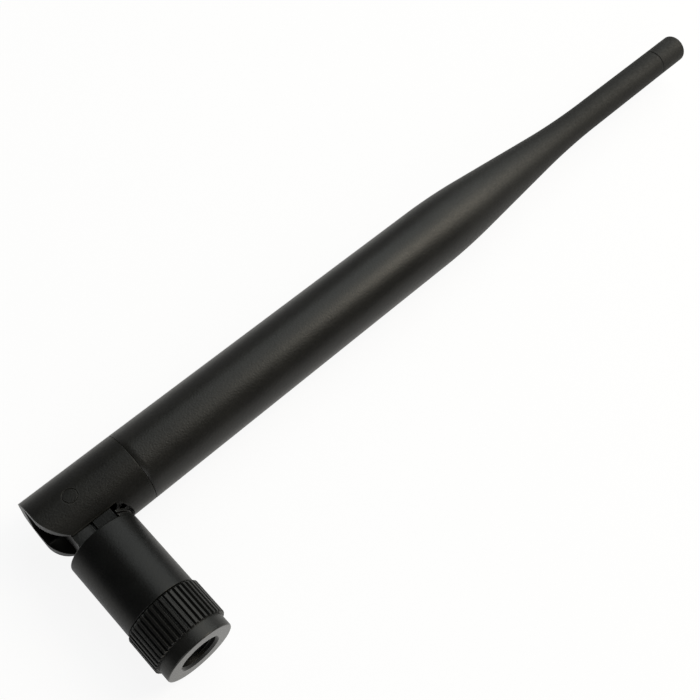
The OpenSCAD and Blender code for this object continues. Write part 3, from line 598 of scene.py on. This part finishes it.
# The knuckle's bores, out of the plug's mouth
BORE_R = 3.06
BORE_REAR = -18.5
RING_GROOVE_R = 3.48
RING_GROOVE_REAR = -11.02
RING_GROOVE_FRONT = -10.28
FLANGE_BORE_R = 4.66
FLANGE_BORE_REAR = -7.4
PIN_BORE_R = 1.24


def add_tongue(knuckle):
    foot = TONGUE_HALF + ROOT_FILLET
    seat = ROOT_FILLET - SHOULDER
    outline = [*arc(0, 0, TONGUE_HALF, 180, 0, steps=48),
               *arc(foot, seat, ROOT_FILLET, 180, 270, steps=10),
               (foot, -SHOULDER - ROOT_DEPTH), (-foot, -SHOULDER - ROOT_DEPTH),
               *arc(-foot, seat, ROOT_FILLET, -90, 0, steps=10)]
    boolean(knuckle, prism("tongue", outline, -CHEEK, CHEEK, HINGE), "UNION")


def add_collar(knuckle):
    collar = turned("collar", [
        (0, -COLLAR_ROOT), (COLLAR_R, -COLLAR_ROOT), (COLLAR_R, -COLLAR_GROOVE_FLOOR),
        (COLLAR_GROOVE_R, -COLLAR_GROOVE_FLOOR), (COLLAR_GROOVE_R, -COLLAR_GROOVE_TOP),
        (COLLAR_R, -COLLAR_GROOVE_TOP), (COLLAR_R, -COLLAR_TOP), (0, -COLLAR_TOP)],
        FROM_PLUG, SLEEVE_SIDES)
    one_side = [(IN_SLOT_X, COLLAR_LINK_HALF), (COLLAR_START_X, COLLAR_LINK_HALF),
                (COLLAR_START_X, PAST), (PAST, PAST)]
    kept = [(x, -z) for x, z in one_side] + one_side[::-1]
    boolean(collar, prism("collar_ends", kept, 0, PAST, TO_PLUG), "INTERSECT")
    boolean(knuckle, collar, "UNION")


def cut_detents(knuckle):
    section = [(-STEP_END, SLIT_MOUTH), (-STEP_END, 0), (-STEP_BEVEL_END, -STEP_DEPTH),
               (-SLIT_HALF, -STEP_DEPTH), (-SLIT_HALF, -SLIT_DEPTH), (SLIT_HALF, -SLIT_DEPTH),
               (SLIT_HALF, SLIT_MOUTH)]
    for side in (1, -1):
        outline = [(x, side * (CHEEK + z)) for x, z in section]
        boolean(knuckle, prism("groove", outline, DETENT_START, SHOULDER, TO_PLUG))


def cut_throat(knuckle):
    outline = [(-CABLE_BORE_R, PAST), (-CABLE_BORE_R, -THROAT_START),
               (CABLE_BORE_R, -THROAT_START), (THROAT_START, -CABLE_BORE_R),
               (PAST, -CABLE_BORE_R), (PAST, PAST)]
    boolean(knuckle, prism("throat", outline, -CABLE_BORE_R, CABLE_BORE_R, HINGE))


def make_knuckle():
    knuckle = turned("knuckle_skin", [
        (0, BARREL_REAR),
        *arc(BARREL_R - BARREL_EDGE_R, BARREL_REAR + BARREL_EDGE_R, BARREL_EDGE_R, -90, 0, steps=5),
        (BARREL_R, BARREL_FRONT - SEAM_CHAMFER), (BARREL_R - SEAM_CHAMFER, BARREL_FRONT),
        (0, BARREL_FRONT)], PLUG, SLEEVE_SIDES)
    add_tongue(knuckle)
    add_collar(knuckle)
    cut_detents(knuckle)
    cut_throat(knuckle)
    outside = BARREL_FRONT + PAST
    boolean(knuckle, turned("knuckle_bores", [
        (0, -HINGE_Y), (CABLE_BORE_R, -HINGE_Y), (CABLE_BORE_R, BORE_REAR), (BORE_R, BORE_REAR),
        (BORE_R, RING_GROOVE_REAR), (RING_GROOVE_R, RING_GROOVE_REAR),
        (RING_GROOVE_R, RING_GROOVE_FRONT), (BORE_R, RING_GROOVE_FRONT),
        (BORE_R, FLANGE_BORE_REAR), (FLANGE_BORE_R, FLANGE_BORE_REAR), (FLANGE_BORE_R, outside),
        (0, outside)], PLUG, sides=64))
    boolean(knuckle, cylinder("pin_bores", PIN_BORE_R, -SLOT_HALF, SLOT_HALF, HINGE, BORE_SIDES))
    finished(knuckle, "knuckle", "knuckle_block", degrees=24)


make_knuckle()


# Coupling nut with knurl and thread

# Places out of the plug's mouth
NUT_REAR = -5.85
KNURL_END = 0.95
NUT_FACE = 3.3
THREAD_START = -3.0
THREAD_END = 2.4
NUT_RING_REAR = -3.62
NUT_RING_R = 3.21
# The knurl: ribs, radius of their crests, depth, and half a groove's width at top and floor
RIBS = 44
CREST_R = 6.8
KNURL_DEPTH = 0.45
GROOVE_HALF_TOP = 0.30
GROOVE_HALF_FLOOR = 0.1
# Points on a crest, in degrees: in from its edges, and out from its middle
CREST_EDGE = 0.35
CREST_MIDDLE = 0.6
KNURL_CHAMFER_REAR = 0.3
KNURL_CHAMFER_FRONT = 0.12
# Rear face inside the knurl, just below the grooves' floors
REAR_FACE_R = 6.33
# The smooth front ring and the mouth. Their edges are radii and depths behind the face
FRONT_RING_R = 6.23
MOUTH_R = 3.3
FRONT_EDGE = ((FRONT_RING_R, 0.2), (6.17, 0.06), (6.03, 0))
MOUTH_EDGE = ((3.74, 0), (3.66, 0.04), (MOUTH_R, 0.4))
# The 1/4-36 thread, with its flats as shares of the pitch
PITCH = 0.7056
MAJOR_R = 3.175
MINOR_R = 2.79
ROOT_FLAT = 0.14
CREST_FLAT = 0.24
# Turns drawn beyond the thread's length, so that its square ends are complete
SPARE_TURNS = 3


def knurl_points():
    """Angles round the nut, each with a mark that says whether it lies in a groove."""
    rib = 360 / RIBS
    top = rib / 2 - math.degrees(GROOVE_HALF_TOP / CREST_R)
    floor = rib / 2 - math.degrees(GROOVE_HALF_FLOOR / (CREST_R - KNURL_DEPTH))
    one_rib = ((-top, False), (CREST_EDGE - top, False), (-CREST_MIDDLE, False),
               (CREST_MIDDLE, False), (top - CREST_EDGE, False), (top, False),
               (floor, True), (rib - floor, True))
    return [(math.radians(rib * i + offset), in_groove)
            for i in range(RIBS) for offset, in_groove in one_rib]


# Points of one pitch of the thread: place along the axis and radius
FLANK = PITCH * (1 - ROOT_FLAT - CREST_FLAT) / 2
THREAD_POINTS = ((0, MAJOR_R), (PITCH * ROOT_FLAT, MAJOR_R),
                 (PITCH * ROOT_FLAT + FLANK, MINOR_R), (PITCH - FLANK, MINOR_R),
                 (PITCH, MAJOR_R))


def thread_radius(s):
    s %= PITCH
    for (s0, r0), (s1, r1) in zip(THREAD_POINTS, THREAD_POINTS[1:]):
        if s <= s1:
            return r0 + (r1 - r0) * (s - s0) / (s1 - s0)


def strip_faces(first, second, columns):
    """Faces between two rows of points, which start at these two numbers."""
    return [(first + k, first + k + 1, second + k + 1, second + k) for k in range(columns)]


def make_coupling_nut():
    knurl = knurl_points()
    columns = len(knurl)
    width = columns + 1
    verts, faces = [], []
    # Each row: radius, place along the axis, and whether the knurl's grooves cut it
    chamfer = KNURL_CHAMFER_FRONT
    outside = [(MINOR_R, NUT_REAR, False), (REAR_FACE_R, NUT_REAR, False),
               (CREST_R - KNURL_CHAMFER_REAR, NUT_REAR, True),
               (CREST_R, NUT_REAR + KNURL_CHAMFER_REAR, True),
               (CREST_R, KNURL_END - chamfer, True), (CREST_R - chamfer, KNURL_END, True),
               (FRONT_RING_R, KNURL_END, False),
               *((r, NUT_FACE - back, False) for r, back in FRONT_EDGE + MOUTH_EDGE),
               (MOUTH_R, THREAD_END, False)]
    for r, s, knurled in outside:
        for angle, in_groove in knurl + knurl[:1]:
            cut_r = min(r, CREST_R - KNURL_DEPTH) if knurled and in_groove else r
            verts.append(circle_point(cut_r, angle, s))
    for i in range(len(outside) - 1):
        faces += strip_faces(i * width, (i + 1) * width, columns)

    # The thread's rows follow the helix and are cut square at both ends
    round_angles = [2 * math.pi * k / columns for k in range(width)]
    turns = int((THREAD_END - THREAD_START) / PITCH) + SPARE_TURNS
    rows = [turn * PITCH + s for turn in range(-1, turns) for s, _ in THREAD_POINTS[:-1]]
    thread = len(verts)
    for row in rows:
        for angle in round_angles:
            lead = -PITCH * angle / (2 * math.pi)
            s = min(max(THREAD_START + row + lead, THREAD_START), THREAD_END)
            verts.append(circle_point(thread_radius(s - THREAD_START - lead), angle, s))
    for i in range(len(rows) - 1):
        faces += strip_faces(thread + i * width, thread + (i + 1) * width, columns)

    # Plain rings close the thread's two ends, and the bore runs on to the nut's rear
    last_row = thread + (len(rows) - 1) * width
    bore = [(MOUTH_R, THREAD_END), (MINOR_R, THREAD_START), (NUT_RING_R, THREAD_START),
            (NUT_RING_R, NUT_RING_REAR), (MINOR_R, NUT_RING_REAR), (MINOR_R, NUT_REAR)]
    mouth = len(verts)
    for r, s in bore:
        verts += [circle_point(r, angle, s) for angle in round_angles]
    faces += strip_faces(last_row, mouth, columns)
    faces += strip_faces(thread, mouth + width, columns)
    for i in range(1, len(bore) - 1):
        faces += strip_faces(mouth + i * width, mouth + (i + 1) * width, columns)
    nut = mesh_object("coupling_nut_skin", verts, faces, PLUG)
    finished(nut, "coupling_nut", "nut", degrees=20)


make_coupling_nut()


# Plug's outer contact, insulator and centre pin

# Places out of the plug's mouth, from front to rear
CONTACT_BEVEL = -0.12
INSULATOR_STEP = -1.9
SHANK_FRONT = -2.2
NUT_GROOVE_FRONT = -3.0
FLANGE_FRONT = -6.0
FLANGE_REAR = -7.0
INSULATOR_REAR = -8.5
CUP_REAR = -9.9
SWIVEL_GROOVE_FRONT = -10.4
SWIVEL_GROOVE_REAR = -10.9
SHANK_REAR = -12.6
CRIMP_REAR = -15.4
# Radii
CONTACT_R = 2.275
CONTACT_RIM_R = 2.14
INSULATOR_R = 2.05
INSULATOR_REAR_R = 1.6
SHANK_R = 2.73
NUT_GROOVE_R = 2.31
FLANGE_R = 4.6
REAR_SHANK_R = 3.0
SWIVEL_GROOVE_R = 2.58
CRIMP_R = 1.3
CORE_BORE_R = 0.55
CUP_BORE_R = 1.175
# The centre pin: cup, shaft in the insulator, contact, and its rounded point
PIN_CUP_R = 0.75
PIN_SHAFT_R = 0.635
PIN_CONTACT_R = 0.46
PIN_TIP_R = 0.2
PIN_CONTACT_LEN = 1.75
PIN_POINT_LEN = 0.35
PIN_POINT_STEPS = 6
PIN_POINT_CURVE = 1.6
PLUG_SIDES = 96


def make_contact():
    contact = turned("contact_skin", [
        (INSULATOR_R, INSULATOR_STEP), (INSULATOR_R, 0), (CONTACT_RIM_R, 0),
        (CONTACT_R, CONTACT_BEVEL), (CONTACT_R, SHANK_FRONT), (SHANK_R, SHANK_FRONT),
        (SHANK_R, NUT_GROOVE_FRONT), (NUT_GROOVE_R, NUT_GROOVE_FRONT),
        (NUT_GROOVE_R, NUT_RING_REAR), (SHANK_R, NUT_RING_REAR), (SHANK_R, FLANGE_FRONT),
        (FLANGE_R, FLANGE_FRONT), (FLANGE_R, FLANGE_REAR), (REAR_SHANK_R, FLANGE_REAR),
        (REAR_SHANK_R, SWIVEL_GROOVE_FRONT), (SWIVEL_GROOVE_R, SWIVEL_GROOVE_FRONT),
        (SWIVEL_GROOVE_R, SWIVEL_GROOVE_REAR), (REAR_SHANK_R, SWIVEL_GROOVE_REAR),
        (REAR_SHANK_R, SHANK_REAR), (CRIMP_R, SHANK_REAR), (CRIMP_R, CRIMP_REAR),
        (CORE_BORE_R, CRIMP_REAR), (CORE_BORE_R, CUP_REAR), (CUP_BORE_R, CUP_REAR),
        (CUP_BORE_R, INSULATOR_REAR), (INSULATOR_REAR_R, INSULATOR_REAR),
        (INSULATOR_REAR_R, INSULATOR_STEP)], PLUG, PLUG_SIDES)
    finished(contact, "connector_body", "connector")


def make_insulator():
    bush = turned("insulator_skin", [
        (PIN_SHAFT_R, 0), (INSULATOR_R, 0), (INSULATOR_R, INSULATOR_STEP),
        (INSULATOR_REAR_R, INSULATOR_STEP), (INSULATOR_REAR_R, INSULATOR_REAR),
        (PIN_SHAFT_R, INSULATOR_REAR)], PLUG, PLUG_SIDES)
    finished(bush, "dielectric", "connector")


def make_centre_pin():
    shares = [i / PIN_POINT_STEPS for i in range(1, PIN_POINT_STEPS + 1)]
    point = [(PIN_CONTACT_R - (PIN_CONTACT_R - PIN_TIP_R) * share ** PIN_POINT_CURVE,
              PIN_CONTACT_LEN + PIN_POINT_LEN * share) for share in shares]
    pin = turned("centre_pin_skin", [
        (0, CUP_REAR), (PIN_CUP_R, CUP_REAR), (PIN_CUP_R, INSULATOR_REAR),
        (PIN_SHAFT_R, INSULATOR_REAR), (PIN_SHAFT_R, 0), (PIN_CONTACT_R, 0),
        (PIN_CONTACT_R, PIN_CONTACT_LEN), *point,
        (0, PIN_CONTACT_LEN + PIN_POINT_LEN)], PLUG, BORE_SIDES)
    finished(pin, "centre_pin", "connector", degrees=40)


make_contact()
make_insulator()
make_centre_pin()


# Cable at the hinge, a quarter turn in the folded position

CABLE_R = 0.9
CABLE_BEND_R = 3.0
BEND_STEPS = 24
CABLE_SIDES = 32


def make_cable_bend():
    verts = []
    for i in range(BEND_STEPS + 1):
        turn = math.radians(180 - 90 * i / BEND_STEPS)
        for k in range(CABLE_SIDES):
            around = 2 * math.pi * k / CABLE_SIDES
            r = CABLE_BEND_R + CABLE_R * math.cos(around)
            verts.append((CABLE_BEND_R + r * math.cos(turn), r * math.sin(turn) - CABLE_BEND_R,
                          CABLE_R * math.sin(around)))
    faces = []
    for i in range(BEND_STEPS):
        a = i * CABLE_SIDES
        b = a + CABLE_SIDES
        for k in range(CABLE_SIDES):
            n = (k + 1) % CABLE_SIDES
            faces.append((a + k, a + n, b + n, b + k))
    last = BEND_STEPS * CABLE_SIDES
    faces += [tuple(range(CABLE_SIDES)), tuple(range(last, last + CABLE_SIDES))]
    bend = mesh_object("cable_bend_skin", verts, faces, HINGE)
    finished(bend, "coax_bend", None)
    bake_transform(bend)


make_cable_bend()


# Floor and room, in metres

FLOOR_Z = -CREST_R * MM
FLOOR_HALF = 6.0
FLOOR_GREY = (0.90, 0.90, 0.90)
FLOOR_ROUGH = 0.6
WHITE = (1, 1, 1, 1)
# Middle of the object, and how far the oval about it is drawn out along x
MIDDLE_X = 0.075
OVAL_X = 0.45
# The sheet's glow in reflections near the object, and where it fades to nothing
GLOW = 0.5
GLOW_FULL = 0.06
GLOW_END = 0.25
# White that the camera sees: its share near the object, and where it becomes all white
WHITE_NEAR = 0.9
WHITE_START = 0.3
WHITE_END = 2.5
# The room's light on surfaces, and in reflections
ROOM_LIGHT = 0.05
ROOM_MIRRORED = 0.08


def glowing(tree, strength):
    node = tree.nodes.new("ShaderNodeEmission")
    node.inputs["Color"].default_value = WHITE
    node.inputs["Strength"].default_value = strength
    return node.outputs["Emission"]


def mixed(tree, factor, first, second):
    node = tree.nodes.new("ShaderNodeMixShader")
    tree.links.new(factor, node.inputs["Fac"])
    tree.links.new(first, node.inputs[1])
    tree.links.new(second, node.inputs[2])
    return node.outputs["Shader"]


def distance_away(tree):
    """Distance from the object's middle, measured in an oval that is longer along x."""
    oval = tree.nodes.new("ShaderNodeMapping")
    oval.inputs["Scale"].default_value = (OVAL_X, 1, 0)
    tree.links.new(object_point(tree), oval.inputs["Vector"])
    away = tree.nodes.new("ShaderNodeVectorMath")
    away.operation = "DISTANCE"
    away.inputs[1].default_value = (OVAL_X * MIDDLE_X, HINGE_Y * MM, 0)
    tree.links.new(oval.outputs["Vector"], away.inputs[0])
    return away.outputs["Value"]


def table_material():
    """The camera sees a white table everywhere. Reflections see the lit sheet about the object,
    with its shadows, and nothing beyond it."""
    table = material("white_table", FLOOR_GREY, FLOOR_ROUGH)
    tree = table.node_tree
    ray = tree.nodes.new("ShaderNodeLightPath")
    away = distance_away(tree)
    mirrored = larger(tree, ray.outputs["Is Glossy Ray"], ray.outputs["Is Transmission Ray"])
    beyond = times(tree, mirrored, ranged(tree, away, GLOW_FULL, GLOW_END, 0, 1))
    near = times(tree, mirrored, ranged(tree, away, GLOW_FULL, GLOW_END, GLOW, 0))
    to_camera = times(tree, ray.outputs["Is Camera Ray"],
                      ranged(tree, away, WHITE_START, WHITE_END, WHITE_NEAR, 1))
    lit = mixed(tree, beyond, tree.nodes["Principled BSDF"].outputs["BSDF"], glowing(tree, 0))
    seen = mixed(tree, larger(tree, near, to_camera), lit, glowing(tree, 1))
    tree.links.new(seen, tree.nodes["Material Output"].inputs["Surface"])
    return table


def make_floor():
    corners = [(x * FLOOR_HALF, y * FLOOR_HALF, FLOOR_Z)
               for x, y in ((-1, -1), (1, -1), (1, 1), (-1, 1))]
    sheet = bpy.data.meshes.new("floor")
    sheet.from_pydata(corners, [], [(0, 1, 2, 3)])
    floor = linked("floor", sheet)
    floor.data.materials.append(table_material())


def make_room():
    """The camera sees a white room, and reflections see little of it, as in the photograph."""
    world = bpy.data.worlds.new("studio")
    bpy.context.scene.world = world
    world.use_nodes = True
    tree = world.node_tree
    background = tree.nodes["Background"]
    background.inputs["Color"].default_value = WHITE
    ray = tree.nodes.new("ShaderNodeLightPath")
    dim = ranged(tree, ray.outputs["Is Glossy Ray"], 0, 1, ROOM_LIGHT, ROOM_MIRRORED)
    clear = ranged(tree, ray.outputs["Is Transmission Ray"], 0, 1, 0, ROOM_MIRRORED)
    bright = ranged(tree, ray.outputs["Is Camera Ray"], 0, 1, 0, 1)
    tree.links.new(larger(tree, larger(tree, dim, clear), bright), background.inputs["Strength"])


make_floor()
make_room()


# Lamps, in metres and watts

AIM = Vector((0.06, 0.02, 0))


def area_light(name, place, size, power, colour=(1.0, 1.0, 1.0)):
    lamp = bpy.data.lights.new(name, "AREA")
    lamp.energy = power
    lamp.size = size
    lamp.color = colour
    obj = linked(name, lamp)
    obj.location = place
    obj.rotation_mode = "QUATERNION"
    obj.rotation_quaternion = (AIM - Vector(place)).to_track_quat("-Z", "Y")


area_light("cool_softbox", place=(1.05, 0.12, 0.98), size=1.9, power=22,
           colour=(0.95, 1.0, 0.985))
area_light("warm_softbox", place=(0.95, -0.32, 0.92), size=0.55, power=9.5,
           colour=(1.0, 0.88, 0.68))
area_light("front_fill", place=(-0.85, -1.05, 0.40), size=1.2, power=10)
area_light("back_fill", place=(0.20, 1.35, 0.30), size=1.2, power=1.6)


# Camera, fitted to the outlines in the photograph

PHOTO_PX = 700
FOCAL_PX = 1089.904
SENSOR_MM = 36
CLIP_START = 0.005
CAMERA_PLACE = Vector((-19.7495, -42.3811, 169.5267))
CAMERA_RIGHT = Vector((0.72312364, -0.68802508, 0.06094000))
CAMERA_DOWN = Vector((-0.57794233, -0.65101197, -0.49210372))
CAMERA_FORWARD = Vector((0.37825237, 0.32063203, -0.86840097))


def make_camera():
    data = bpy.data.cameras.new("camera")
    data.sensor_width = SENSOR_MM
    data.lens = FOCAL_PX / PHOTO_PX * SENSOR_MM
    data.clip_start = CLIP_START
    camera = linked("camera", data)
    turn = Matrix((CAMERA_RIGHT, -CAMERA_DOWN, -CAMERA_FORWARD)).transposed().to_4x4()
    camera.matrix_world = Matrix.Translation(CAMERA_PLACE * MM) @ turn
    bpy.context.scene.camera = camera


make_camera()
bpy.context.scene.view_settings.view_transform = "Standard"
